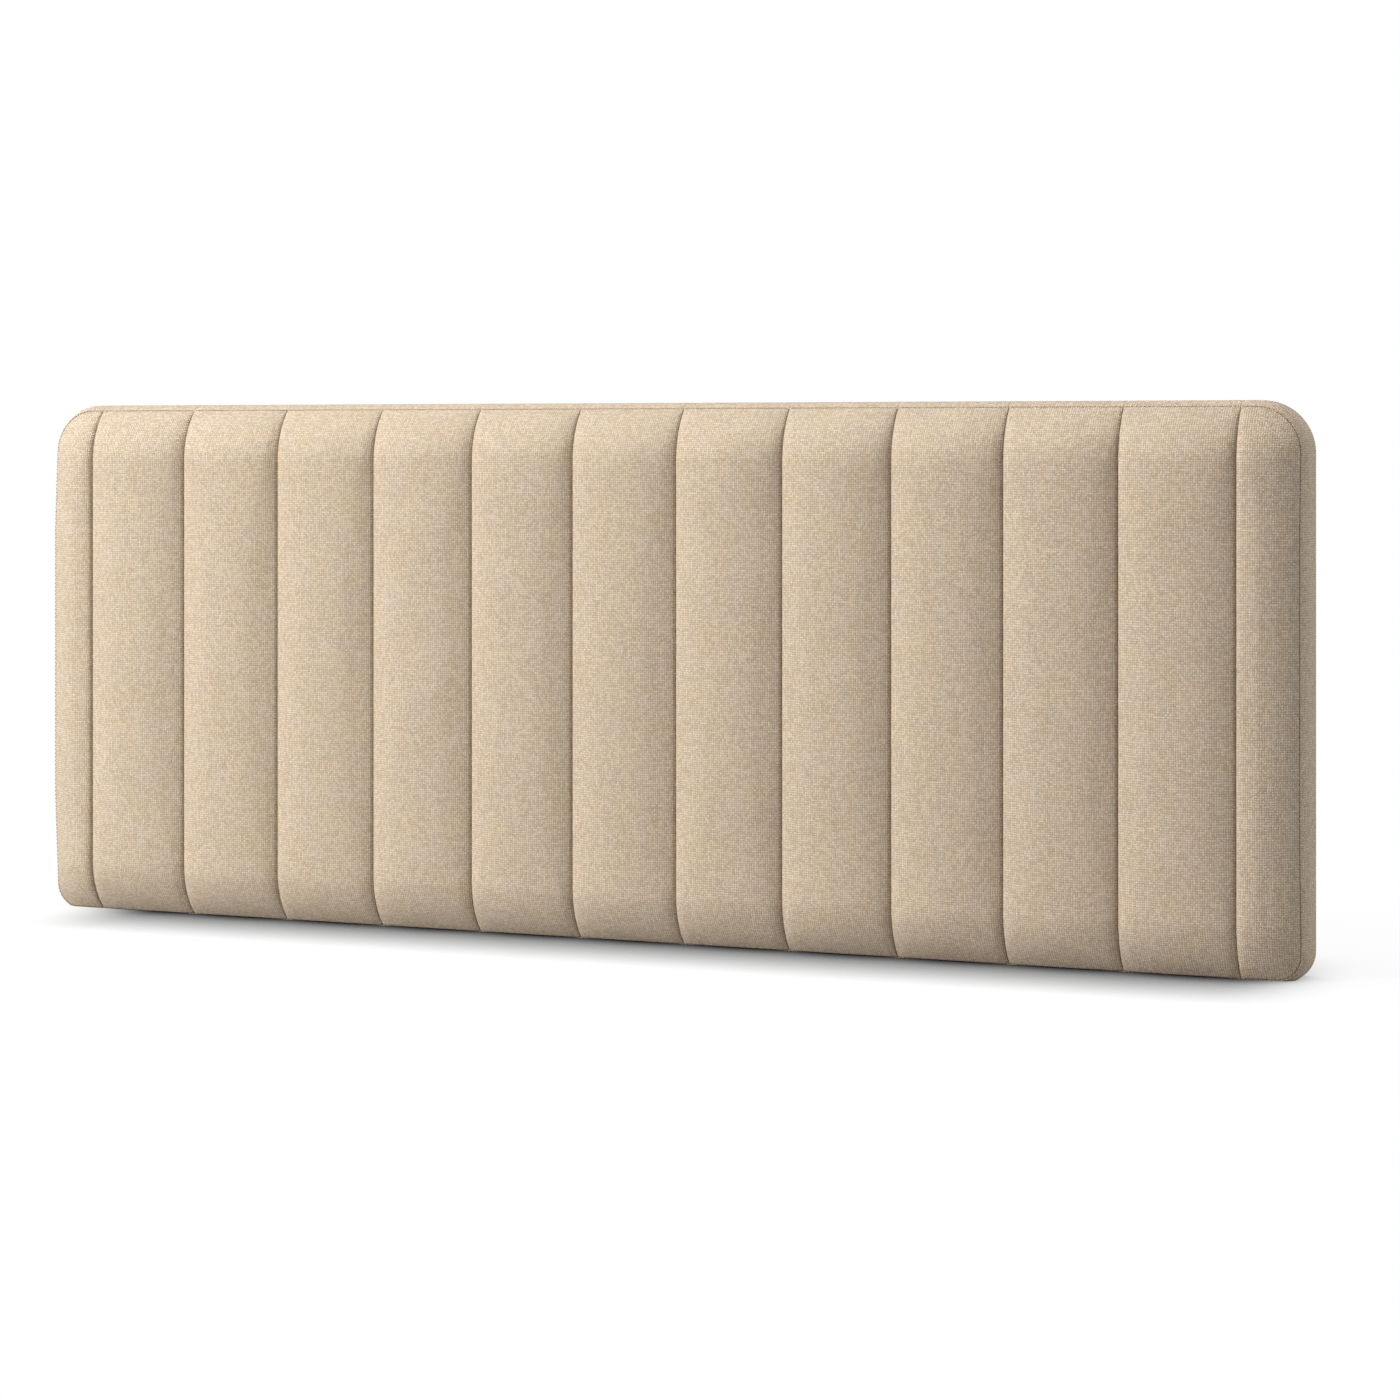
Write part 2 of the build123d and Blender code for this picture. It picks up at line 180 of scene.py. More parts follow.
def mesh_piece(name, points, faces, cloth_uv=None):
    """A smooth mesh object from points and faces, with cloth lengths as its UV map."""
    mesh = bpy.data.meshes.new(name)
    mesh.from_pydata([tuple(p) for p in np.asarray(points, float)], [], [tuple(f) for f in faces])
    if cloth_uv is not None:
        layer = mesh.uv_layers.new(name="cloth")
        corners = np.zeros(len(mesh.loops), np.int32)
        mesh.loops.foreach_get("vertex_index", corners)
        layer.data.foreach_set("uv", np.asarray(cloth_uv, np.float32)[corners].ravel())
    mesh.shade_smooth()
    mesh.set_sharp_from_angle(angle=SHARP_ANGLE)
    piece = bpy.data.objects.new(name, mesh)
    bpy.context.scene.collection.objects.link(piece)
    return piece


def grid_faces(rows, columns):
    """The faces of a grid of points that is numbered row by row."""
    index = np.arange(rows * columns).reshape(rows, columns)
    return [
        (index[r, c], index[r, c + 1], index[r + 1, c + 1], index[r + 1, c])
        for r in range(rows - 1) for c in range(columns - 1)
    ]


def outward(piece):
    """Turns the faces of a closed shell outwards."""
    shell = bmesh.new()
    shell.from_mesh(piece.data)
    bmesh.ops.recalc_face_normals(shell, faces=shell.faces)
    shell.to_mesh(piece.data)
    shell.free()


def arc(start, tangent, end, count):
    """Points of the arc that leaves its start along a tangent and runs to its end."""
    chord = (end[0] - start[0], end[1] - start[1])
    heading = atan2(tangent[1], tangent[0])
    half_turn = atan2(chord[1], chord[0]) - heading
    half_turn = (half_turn + pi) % (2 * pi) - pi
    length = hypot(*chord)
    points = []
    for step in range(count):
        share = step / (count - 1)
        reach = length * sin(share * half_turn) / sin(half_turn)
        way = heading + share * half_turn
        points.append((start[0] + reach * cos(way), start[1] + reach * sin(way)))
    return points


# Padded channels

def roll_drop(distance):
    """How far the seams lie behind their middle height near the perimeter seam."""
    radius = (ROLL_LENGTH ** 2 + ROLL_DEPTH ** 2) / (2 * ROLL_DEPTH)
    run = max(ROLL_LENGTH - distance, 0)
    return radius - sqrt(radius ** 2 - run ** 2)


def end_bow(distance):
    """How far the perimeter seam bows forward along an end, away from the corners."""
    share = np.clip(distance / END_BOW_LENGTH, 0, 1)
    return END_BOW * share * share * (3 - 2 * share)


def crown_at(distance):
    """How far a channel's crown rises over its seams, lower near the perimeter seam."""
    rise = sin(min(distance / CROWN_RISE_LENGTH, 1) * pi / 2)
    return CROWN * (CROWN_END_SHARE + (1 - CROWN_END_SHARE) * rise)


def full_profile(distance, fullness):
    """Half of a full channel's section, from its middle to the seam: (x, y)."""
    half = PITCH / 2
    run = FLANK_WIDTH_SHARE * half
    seam_y = SEAM_FRONT + roll_drop(distance)
    rise = crown_at(distance) * fullness
    joint = (half - run, seam_y - FLANK_HEIGHT_SHARE * rise)
    crown = arc((0, seam_y - rise * (1 + CREST_SWELL)), (1, 0), joint, CROWN_POINTS)
    before, last = crown[-2], crown[-1]
    slope = (last[0] - before[0], last[1] - before[1])
    return crown + arc(joint, slope, (half, seam_y), FLANK_POINTS)[1:]


def end_profile(distance, reach, fullness):
    """The right-hand half channel's section, from its inner seam to the perimeter seam."""
    left = SEAM_HALF_WIDTH - PITCH / 2
    seam_y = SEAM_FRONT + roll_drop(distance)
    rise = END_CROWN_SHARE * crown_at(distance) * fullness
    crest = (reach - OUTER_FLANK_SHARE * (reach - left), seam_y - rise)
    inner = arc(crest, (-1, 0), (left, seam_y), CROWN_POINTS)
    rim = (reach, PERIMETER_FRONT - end_bow(distance))
    outer = arc(crest, (1, 0), rim, OUTER_FLANK_POINTS)
    return inner[::-1] + outer[1:]


def outer_reach(z):
    """Half width of the perimeter seam at a height."""
    distance, radius = min(
        (SEAM_TOP - z, TOP_RADIUS - BAND_BULGE), (z - SEAM_BOTTOM, BOTTOM_RADIUS - BAND_BULGE)
    )
    drop = max(radius - distance, 0)
    return SEAM_HALF_WIDTH - radius + sqrt(max(radius ** 2 - drop ** 2, 0))


def perimeter_distance(x, z):
    """How far a point lies inside the perimeter seam, whose corners are rounded."""
    radius = np.where(z > (SEAM_TOP + SEAM_BOTTOM) / 2, TOP_RADIUS, BOTTOM_RADIUS) - BAND_BULGE
    middle, half = (SEAM_TOP + SEAM_BOTTOM) / 2, (SEAM_TOP - SEAM_BOTTOM) / 2
    across = np.abs(x) - (SEAM_HALF_WIDTH - radius)
    upward = np.abs(z - middle) - (half - radius)
    outside = np.hypot(np.maximum(across, 0), np.maximum(upward, 0))
    return radius - outside - np.minimum(np.maximum(across, upward), 0)


def cover_row(z, x, fullness=1.0):
    """How far forward the cover's face lies along a row at a height: y at each x."""
    half = PITCH / 2
    distance = min(SEAM_TOP - z, z - SEAM_BOTTOM)
    profile = np.array(full_profile(distance, fullness))
    y = np.interp(np.abs(x - PITCH * np.round(x / PITCH)), profile[:, 0], profile[:, 1])
    beyond = np.abs(x) > SEAM_HALF_WIDTH - half
    if beyond.any():
        profile = np.array(end_profile(distance, outer_reach(z), fullness))
        y = np.where(beyond, np.interp(np.abs(x), profile[:, 0], profile[:, 1]), y)
    return y


def settled_cover():
    """How the cloth of the whole front settles, held at its seams and pressed out by the foam.

    Gives a function that returns how far the cloth moves at each x and z.
    """
    rows, columns = CLOTH_ROWS, (FULL_CHANNELS + 1) * CLOTH_COLUMNS_PER_CHANNEL + 1
    xs = np.linspace(-SEAM_HALF_WIDTH, SEAM_HALF_WIDTH, columns)
    zs = np.linspace(SEAM_BOTTOM, SEAM_TOP, rows)
    start = np.array([np.stack([xs, cover_row(z, xs), np.full_like(xs, z)], axis=1) for z in zs])
    cloth = mesh_piece("settling_cloth", start.reshape(-1, 3), grid_faces(rows, columns))
    x, z = start[..., 0].ravel(), start[..., 2].ravel()
    seam_gap = PITCH / 2 - np.abs(x - PITCH * np.round(x / PITCH))
    held = np.minimum(seam_gap, perimeter_distance(x, z)) < CLOTH_HELD_STRIP
    group = cloth.vertex_groups.new(name="held")
    group.add([int(i) for i in np.flatnonzero(held)], 1.0, "REPLACE")
    settling = cloth.modifiers.new("settling", "CLOTH")
    settings = settling.settings
    settings.quality = 6
    settings.mass = 0.08
    settings.tension_stiffness = settings.compression_stiffness = 12
    settings.shear_stiffness = 4
    settings.bending_stiffness = 0.12
    settings.air_damping = 2
    settings.vertex_group_mass = "held"
    settings.use_pressure = True
    settings.uniform_pressure_force = 2.0
    settings.effector_weights.gravity = 0
    scene = bpy.context.scene
    for step in range(1, CLOTH_FRAMES + 1):
        scene.frame_set(step)
    moved = cloth.evaluated_get(bpy.context.evaluated_depsgraph_get())
    end = np.zeros(rows * columns * 3)
    moved.data.vertices.foreach_get("co", end)
    moves = end.reshape(rows, columns, 3) - start
    for _ in range(CLOTH_SMOOTHINGS):
        moves[1:-1] = (moves[:-2] + 2 * moves[1:-1] + moves[2:]) / 4
    length = np.linalg.norm(moves, axis=-1, keepdims=True)
    moves *= CLOTH_MOVE_CAP * np.tanh(length / CLOTH_MOVE_CAP) / np.maximum(length, 1e-9)
    scene.frame_set(1)
    bpy.data.objects.remove(cloth)

    def move_at(x, z):
        column = np.clip((x - xs[0]) / (xs[1] - xs[0]), 0, columns - 1.001)
        row = np.clip((z - zs[0]) / (zs[1] - zs[0]), 0, rows - 1.001)
        c, r = column.astype(int), row.astype(int)
        a, b = (column - c)[..., None], (row - r)[..., None]
        lower = moves[r, c] * (1 - a) + moves[r, c + 1] * a
        upper = moves[r + 1, c] * (1 - a) + moves[r + 1, c + 1] * a
        return lower * (1 - b) + upper * b

    return move_at


def edge_steps():
    """Distances from a seam at which the fold that turns into it is sampled."""
    return [SEAM_SLOT + FOLD_RADIUS * share for share in FOLD_SHARES]


def seam_stations(length, widest):
    """Distances from a seam to the middle of a channel: close at the seam, wide in the middle."""
    stations = edge_steps()
    step = FOLD_RADIUS
    while stations[-1] + step < length - widest / 2:
        stations.append(stations[-1] + step)
        step = min(step * 1.2, widest)
    return stations + [length]


def height_stations():
    """Heights of the rows of a channel, close where the outline turns round its corners."""
    rows = []
    for radius, sign, start in (
        (BOTTOM_RADIUS - BAND_BULGE, 1, SEAM_BOTTOM), (TOP_RADIUS - BAND_BULGE, -1, SEAM_TOP)
    ):
        distances = edge_steps()
        turns = [
            radius * (1 - cos(radians(turn)))
            for turn in range(CORNER_ROW_TURN, 90 + CORNER_ROW_TURN, CORNER_ROW_TURN)
        ]
        distances += [turn for turn in turns if turn > distances[-1] + 0.3 * MM]
        distances += list(np.arange(radius + ROLL_ROW_STEP, ROLL_LENGTH, ROLL_ROW_STEP))
        rows += [start + sign * distance for distance in distances]
    low, high = SEAM_BOTTOM + ROLL_LENGTH, SEAM_TOP - ROLL_LENGTH
    rows += list(np.linspace(low, high, MIDDLE_ROWS))
    return sorted(rows)


def smooth_noise(x, z, size, seed):
    """A slow random swell of about one, from a few waves of a given size."""
    source = np.random.default_rng(seed)
    total = np.zeros_like(x)
    waves = 6
    for _ in range(waves):
        way = source.uniform(0, 2 * pi)
        length = size * source.uniform(0.7, 1.5)
        phase = source.uniform(0, 2 * pi)
        total += np.sin(2 * pi * (x * cos(way) + z * sin(way)) / length + phase)
    return total / sqrt(waves)


def lengths_along(points):
    """Distance along a line of points, from its first one."""
    return np.concatenate([[0], np.cumsum(np.linalg.norm(np.diff(points, axis=0), axis=1))])


def channel(number, move_at):
    """One padded channel as a closed form, whose edges fold into its seams."""
    fullness = 1 + rng.uniform(-FULLNESS_SPREAD, FULLNESS_SPREAD)
    heights = np.array(height_stations())
    side = {1: -1, CHANNELS: 1}.get(number, 0)
    half = PITCH / 2
    centre = PITCH * (number - (CHANNELS + 1) / 2)
    if side:
        inner_seam = SEAM_HALF_WIDTH - half
        shares = seam_stations(half / 2, END_CHANNEL_STEP)
        shares = np.array(shares + [half - s for s in shares[-2::-1]]) / half
    else:
        stations = seam_stations(half, FULL_CHANNEL_STEP)
        columns = np.array([s - half for s in stations] + [half - s for s in stations[-2::-1]])
        columns = columns + centre
    rows = []
    for z in heights:
        x = side * (inner_seam + shares * (outer_reach(z) - inner_seam)) if side else columns
        rows.append(np.stack([x, cover_row(z, x, fullness), np.full_like(x, z)], axis=1))
    grid = np.array(rows)
    if side < 0:
        grid = grid[:, ::-1]
    x, z = grid[..., 0], grid[..., 2]
    seam_gap = np.abs(x) - inner_seam if side else half - np.abs(x - centre)
    rim_gap = perimeter_distance(x, z)
    edge_gap = np.minimum(seam_gap, rim_gap)

    # The foam swells a little unevenly, and the cloth settles on it
    free = np.clip(edge_gap / CLOTH_FREE_FROM, 0, 1)
    swell = FOAM_SWELL * smooth_noise(x, z, FOAM_SWELL_SIZE, number)
    swell *= np.clip(edge_gap / FOAM_SWELL_FROM, 0, 1)
    middle_row, middle_column = len(grid) // 2, grid.shape[1] // 2
    lengthwise = lengths_along(grid[:, middle_column])
    crosswise = lengths_along(grid[middle_row])
    u = np.interp(x, grid[middle_row, :, 0], crosswise) + number * CLOTH_SHIFT_U
    v = np.repeat(lengthwise[:, None], grid.shape[1], axis=1) + number * CLOTH_SHIFT_V
    grid = grid + move_at(x, z) * free[..., None]
    grid[..., 1] += swell

    # The last stretch turns into the seam as a small round fold
    turned = np.clip(SEAM_SLOT + FOLD_RADIUS - edge_gap, 0, FOLD_RADIUS)
    grid[..., 1] += FOLD_RADIUS - np.sqrt(np.maximum(FOLD_RADIUS ** 2 - turned ** 2, 0))
    return closed_panel(f"channel_{number:02d}", grid, np.stack([u, v], axis=-1))


def closed_panel(name, grid, cloth):
    """A front surface with walls and a flat back, as one closed shell."""
    rows, columns = grid.shape[:2]
    index = np.arange(rows * columns).reshape(rows, columns)
    faces = grid_faces(rows, columns)
    ring = np.concatenate([index[0, :-1], index[:-1, -1], index[-1, :0:-1], index[:0:-1, 0]])
    points = grid.reshape(-1, 3)
    back = points[ring].copy()
    back[:, 1] = FOAM_FRONT
    behind = rows * columns + np.arange(len(ring))
    for place in range(len(ring)):
        after = (place + 1) % len(ring)
        faces.append((ring[place], behind[place], behind[after], ring[after]))
    faces.append(tuple(behind[::-1]))
    cloth = cloth.reshape(-1, 2)
    return mesh_piece(
        name, np.concatenate([points, back]), faces, np.concatenate([cloth, cloth[ring]])
    )


# Boxing band

def band_path():
    """The band's section from the perimeter seam round to the turned-in back: (inset, y)."""
    drawn_in = BAND_EDGE_RADIUS - BAND_BULGE
    run = sqrt(BAND_EDGE_RADIUS ** 2 - drawn_in ** 2)
    flat_start = PERIMETER_FRONT + run
    # Two points of the sewn edge that is hidden in the seam
    path = [
        (BAND_BULGE + 0.5 * MM, PERIMETER_FRONT + 4 * MM),
        (BAND_BULGE + 0.1 * MM, PERIMETER_FRONT + 1.6 * MM),
    ]
    start = atan2(run, drawn_in)
    front_steps, back_steps = 14, 12
    for step in range(front_steps + 1):
        turn = start * (1 - step / front_steps)
        path.append((BAND_EDGE_RADIUS * (1 - cos(turn)), flat_start - BAND_EDGE_RADIUS * sin(turn)))
    flat_end = COVER_BACK - BACK_EDGE_RADIUS
    path += [(0, y) for y in np.linspace(flat_start, flat_end, 9)[1:-1]]
    for step in range(back_steps + 1):
        turn = radians(90) * step / back_steps
        path.append((BACK_EDGE_RADIUS * (1 - cos(turn)), flat_end + BACK_EDGE_RADIUS * sin(turn)))
    path += [(inset, COVER_BACK) for inset in np.linspace(BACK_EDGE_RADIUS, TURN_IN_WIDTH, 12)[1:]]
    return np.array(path)


def ring_point(run, part, inset):
    """A point of the drawn-in outline: run 0 is the base, 1 a corner, and so on anticlockwise."""
    half, low, high = HALF_WIDTH - inset, inset - BASE_FLATTENING, HEIGHT - inset
    lower = max(BOTTOM_RADIUS - inset, TURN_IN_CORNER_RADIUS)
    upper = max(TOP_RADIUS - inset, TURN_IN_CORNER_RADIUS)
    corners = (
        (half - lower, low + lower, lower, -90), (half - upper, high - upper, upper, 0),
        (upper - half, high - upper, upper, 90), (lower - half, low + lower, lower, 180),
    )
    if run % 2:
        x, z, radius, start = corners[run // 2]
        turn = radians(start + 90 * part)
        return x + radius * cos(turn), z + radius * sin(turn)
    ends = {
        0: ((lower - half, low), (half - lower, low)),
        2: ((half, low + lower), (half, high - upper)),
        4: ((half - upper, high), (upper - half, high)),
        6: ((-half, high - upper), (-half, low + lower)),
    }[run]
    (x0, z0), (x1, z1) = ends
    return x0 + (x1 - x0) * part, z0 + (z1 - z0) * part


def band_places(runs):
    """The places along the outline at which a stretch of the band is sampled: (run, part)."""
    places = []
    for run in runs:
        if run % 2:
            parts = np.linspace(0, 1, BAND_CORNER_PARTS)
        elif run == 4:
            length = 2 * (HALF_WIDTH - TOP_RADIUS)
            marks = set(np.linspace(0, length, BAND_LONG_PARTS))
            for seam in SEAM_PLACES:
                middle = length / 2 + seam
                marks |= {middle + offset for offset in GROOVE_MARKS}
            parts = np.array(sorted(mark for mark in marks if 0 <= mark <= length)) / length
        else:
            parts = np.linspace(0, 1, BAND_LONG_PARTS if run == 0 else BAND_END_PARTS)
        places += [(run, part) for part in (parts if not places else parts[1:])]
    return places


def bow_band(grid, section, on_cloth):
    """Along the ends the band's front edge bows forward with the perimeter seam."""
    flat_end = COVER_BACK - BACK_EDGE_RADIUS
    bow = end_bow(np.minimum(SEAM_TOP - grid[..., 2], grid[..., 2] - SEAM_BOTTOM))
    ahead = np.clip((flat_end - section[:, 1]) / (flat_end - PERIMETER_FRONT), 0, 1)
    grid[..., 1] -= bow * ahead * on_cloth


def pleat_band(grid, section, on_cloth, places):
    """The turned-in margin lies in small pleats round the corners."""
    corner = np.array([run % 2 * part for run, part in places])[:, None]
    count = corner * (PLEATS + 1)
    pleat = np.exp(-((count - np.round(count)) / PLEAT_WIDTH_SHARE) ** 2)
    pleat *= (count > 0.5) * (count < PLEATS + 0.5)
    turned_in = np.clip((section[:, 0] - 0.4 * BACK_EDGE_RADIUS) / (12 * MM), 0, 1)
    turned_in *= (section[:, 1] > COVER_BACK - 3 * MM) * on_cloth
    grid[..., 1] -= PLEAT_DEPTH * pleat * turned_in


def groove_band(grid, on_cloth):
    """The channels' seams draw a small groove in the top band where they meet it."""
    for seam in SEAM_PLACES:
        offset = np.abs(grid[..., 0] - seam)
        groove = GROOVE_DEPTH * np.clip(1 - offset / GROOVE_HALF_WIDTH, 0, 1) ** 1.5
        grid[..., 2] -= groove * on_cloth * (grid[..., 1] < COVER_BACK - 0.5 * MM)


def band_piece(name, runs):
    """A stretch of the boxing band with the foam in it, as a closed form."""
    path = band_path()
    inner = [
        (TURN_IN_WIDTH, FRAME_BACK), (FRAME_INSET, FRAME_BACK), (FRAME_INSET, FOAM_FRONT),
        (FRAME_INSET, FOAM_FRONT - 0.5 * MM),
    ]
    section = np.concatenate([path, inner])
    on_cloth = np.arange(len(section)) < len(path)
    places = band_places(runs)
    count, around = len(places), len(section)
    grid = np.array([
        [(x, y, z) for (x, z), y in ((ring_point(run, part, inset), y) for inset, y in section)]
        for run, part in places
    ])
    outline = np.array([ring_point(run, part, 0) for run, part in places])
    cloth = np.zeros((count, around, 2))
    cloth[..., 0] = lengths_along(outline)[:, None]
    cloth[..., 1] = lengths_along(section)
    bow_band(grid, section, on_cloth)
    pleat_band(grid, section, on_cloth, places)
    if 4 in runs:
        groove_band(grid, on_cloth)
    grid[..., 2] = np.maximum(grid[..., 2], 0)
    index = np.arange(count * around).reshape(count, around)
    faces = []
    for place in range(count - 1):
        here, there = index[place], index[place + 1]
        for step in range(around):
            after = (step + 1) % around
            faces.append((here[step], here[after], there[after], there[step]))
    faces += [tuple(index[0][::-1]), tuple(index[-1])]
    cloth = cloth.reshape(-1, 2) + rng.uniform(0, 1, 2)
    piece = mesh_piece(name, grid.reshape(-1, 3), faces, cloth)
    outward(piece)
    return piece


# Back

def rounded_loop(half, low, high, radius, step):
    """Points round a rectangle with rounded corners, at about an even step."""
    points = []
    for x, z, start in (
        (half - radius, low + radius, -90), (half - radius, high - radius, 0),
        (radius - half, high - radius, 90), (radius - half, low + radius, 180),
    ):
        for turn in np.linspace(start, start + 90, 9):
            points.append((x + radius * cos(radians(turn)), z + radius * sin(radians(turn))))
    dense = []
    for (x0, z0), (x1, z1) in zip(points, points[1:] + points[:1]):
        count = max(1, round(hypot(x1 - x0, z1 - z0) / step))
        dense += [(x0 + (x1 - x0) * k / count, z0 + (z1 - z0) * k / count) for k in range(count)]
    return dense


def dust_sheet():
    """The thin backing, slack between its staples, with a hole over each strut bolt."""
    low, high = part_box("dust_cover")
    loops = [rounded_loop(high.x, low.z, high.z, SHEET_CORNER_RADIUS, SHEET_STEP)]
    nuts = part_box("strut_tee_nuts")
    spread_x = (nuts[1].x - nuts[0].x) / 2 - NUT_RADIUS
    heights = (nuts[0].z + NUT_RADIUS, nuts[1].z - NUT_RADIUS)
    holes = [(side * spread_x, z) for side in (-1, 1) for z in heights]
    radius = BOLT_HOLE_RADIUS
    turns = [2 * pi * k / HOLE_POINTS for k in range(HOLE_POINTS)]
    for x, z in holes:
        loops.append([(x + radius * cos(turn), z + radius * sin(turn)) for turn in turns])
    points, edges = [], []
    for loop in loops:
        start = len(points)
        points += loop
        edges += [(start + k, start + (k + 1) % len(loop)) for k in range(len(loop))]
    for x in np.arange(low.x + 8 * MM, high.x, SHEET_STEP):
        for z in np.arange(low.z + 8 * MM, high.z, SHEET_STEP):
            clear = all(hypot(x - a, z - b) > radius + 4 * MM for a, b in holes)
            margin = min(high.x - abs(x), z - low.z, high.z - z)
            if clear and margin > 5 * MM:
                points.append((x, z))
    flat, _, triangles, *_ = delaunay_2d_cdt([Vector(p) for p in points], edges, [], 1, 1e-6)
    flat = np.array([tuple(p) for p in flat])
    kept = []
    for triangle in triangles:
        middle = flat[list(triangle)].mean(axis=0)
        if all(hypot(middle[0] - a, middle[1] - b) > radius * 0.98 for a, b in holes):
            kept.append(tuple(triangle))
    x, z = flat[:, 0], flat[:, 1]
    margin = np.minimum(high.x - np.abs(x), np.minimum(z - low.z, high.z - z))
    # Over the frame the sheet lies on its members, and in the open bays it sags
    to_member = np.full_like(x, 1.0)
    for name in MEMBERS:
        near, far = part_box(name)
        aside = np.maximum(np.maximum(near.x - x, x - far.x), 0)
        above = np.maximum(np.maximum(near.z - z, z - far.z), 0)
        to_member = np.minimum(to_member, np.hypot(aside, above))
    sag = np.clip((to_member - 2 * MM) / SAG_RUN, 0, 1)
    sag = SAG * sag * sag * (3 - 2 * sag) * (1 + 0.25 * smooth_noise(x, z, 160 * MM, 5))
    slack = 0.2 * MM + 0.12 * MM * smooth_noise(x, z, 210 * MM, 9)
    slack *= np.clip((margin - 10 * MM) / (60 * MM), 0, 1)
    y = np.maximum(DUST_BACK - 0.45 * MM - slack, FRAME_BACK + 0.35 * MM) - sag
    sheet = mesh_piece("backing_sheet", np.stack([x, y, z], axis=1), kept, flat)
    thick = sheet.modifiers.new("thickness", "SOLIDIFY")
    thick.thickness = SHEET_THICKNESS
    thick.offset = 0
    return sheet, (high.x - low.x, high.z - low.z)


def foam_slab():
    """The flat foam under the channels."""
    ring = []
    for run in (1, 3, 5, 7):
        ring += [ring_point(run, part, FRAME_INSET) for part in np.linspace(0, 1, 9)]
    points, faces = [], []
    bevel = 0.6 * MM
    for y, inset in ((FOAM_FRONT, bevel), (FOAM_FRONT + bevel, 0), (BOARD_FRONT, 0)):
        for x, z in ring:
            points.append((x - inset * np.sign(x), y, z - inset * np.sign(z - HEIGHT / 2)))
    count = len(ring)
    for layer in range(2):
        for place in range(count):
            after = (place + 1) % count
            a, b = layer * count, (layer + 1) * count
            faces.append((a + place, a + after, b + after, b + place))
    faces += [tuple(range(count)), tuple(range(3 * count - 1, 2 * count - 1, -1))]
    slab = mesh_piece("foam_slab", points, faces)
    outward(slab)
    return slab


# Stitches

def stitch_tree():
    """Geometry Nodes that lay a thread at an even spacing along a seam line."""
    tree = bpy.data.node_groups.new("stitches", "GeometryNodeTree")
    face = tree.interface
    face.new_socket("Seam", in_out="INPUT", socket_type="NodeSocketGeometry")
    for label in ("Spacing", "Thread length", "Thread radius"):
        face.new_socket(label, in_out="INPUT", socket_type="NodeSocketFloat")
    face.new_socket("Thread", in_out="INPUT", socket_type="NodeSocketMaterial")
    face.new_socket("Stitches", in_out="OUTPUT", socket_type="NodeSocketGeometry")
    start = Signal(tree)
    given = start.node("NodeGroupInput")
    seam, spacing, length, radius, thread = (
        Signal(tree, given.socket.node.outputs[place]) for place in range(5)
    )
    line = start.node("GeometryNodeMeshToCurve", {}, {0: seam})
    points = start.node(
        "GeometryNodeResampleCurve", {"mode": "LENGTH"}, {"Curve": line, "Length": spacing}
    )
    way = start.node(
        "GeometryNodeInputNamedAttribute", {"data_type": "FLOAT_VECTOR"}, {"Name": "thread_way"}
    )
    turn = start.node("FunctionNodeAlignRotationToVector", {"axis": "X"}, {"Vector": way})
    uneven = start.node(
        "FunctionNodeRandomValue", {"data_type": "FLOAT_VECTOR"},
        {"Min": (0.9, 0.85, 0.85), "Max": (1.08, 1.1, 1.1), "Seed": 3},
    )
    bead = start.node("GeometryNodeMeshUVSphere", {}, {"Segments": 8, "Rings": 6, "Radius": 1.0})
    size = start.node("ShaderNodeCombineXYZ", {}, {0: length * 0.5, 1: radius, 2: radius})
    shaped = start.node("GeometryNodeTransform", {}, {"Geometry": bead, "Scale": size})
    laid = start.node(
        "GeometryNodeInstanceOnPoints", {},
        {"Points": points, "Instance": shaped, "Rotation": turn, "Scale": uneven},
    )
    real = start.node("GeometryNodeRealizeInstances", {}, {0: laid})
    smooth = start.node("GeometryNodeSetShadeSmooth", {}, {0: real})
    dressed = start.node("GeometryNodeSetMaterial", {}, {"Geometry": smooth, "Material": thread})
    result = tree.nodes.new("NodeGroupOutput")
    tree.links.new(dressed.socket, result.inputs[0])
    return tree


def stitches(name, tree, lines, ways, sizes, thread):
    """Threads along seam lines, each with the way that its threads point, as a plain mesh."""
    points, edges = [], []
    for line in lines:
        start = len(points)
        points += [tuple(point) for point in line]
        edges += [(start + k, start + k + 1) for k in range(len(line) - 1)]
    mesh = bpy.data.meshes.new(name)
    mesh.from_pydata(points, edges, [])
    attribute = mesh.attributes.new("thread_way", "FLOAT_VECTOR", "POINT")
    attribute.data.foreach_set("vector", np.concatenate(ways).astype(np.float32).ravel())
    seam = bpy.data.objects.new(f"{name}_line", mesh)
    bpy.context.scene.collection.objects.link(seam)
    maker = seam.modifiers.new("stitches", "NODES")
    maker.node_group = tree
    values = dict(zip(("Spacing", "Thread length", "Thread radius"), sizes))
    values["Thread"] = thread
    for item in tree.interface.items_tree:
        if item.in_out == "INPUT" and item.name in values:
            maker[item.identifier] = values[item.name]
    seen = seam.evaluated_get(bpy.context.evaluated_depsgraph_get())
    made = bpy.data.objects.new(name, bpy.data.meshes.new_from_object(seen))
    bpy.context.scene.collection.objects.link(made)
    bpy.data.objects.remove(seam)
    return made


def seam_heights(end_gap, count):
    """Heights along the upright seams, from a gap above the lower end to one below the upper."""
    return np.linspace(SEAM_BOTTOM + end_gap, SEAM_TOP - end_gap, count)


def channel_seam_lines(depth):
    """The upright seams between the channels, a little below their folds."""
    lines, ways = [], []
    heights = seam_heights(3 * MM, 120)
    drops = [SEAM_FRONT + roll_drop(min(SEAM_TOP - z, z - SEAM_BOTTOM)) + depth for z in heights]
    for x in SEAM_PLACES:
        lines.append([(x, y, z) for y, z in zip(drops, heights)])
        ways.append(np.tile((1.0, 0.0, 0.0), (len(heights), 1)))
    return lines, ways


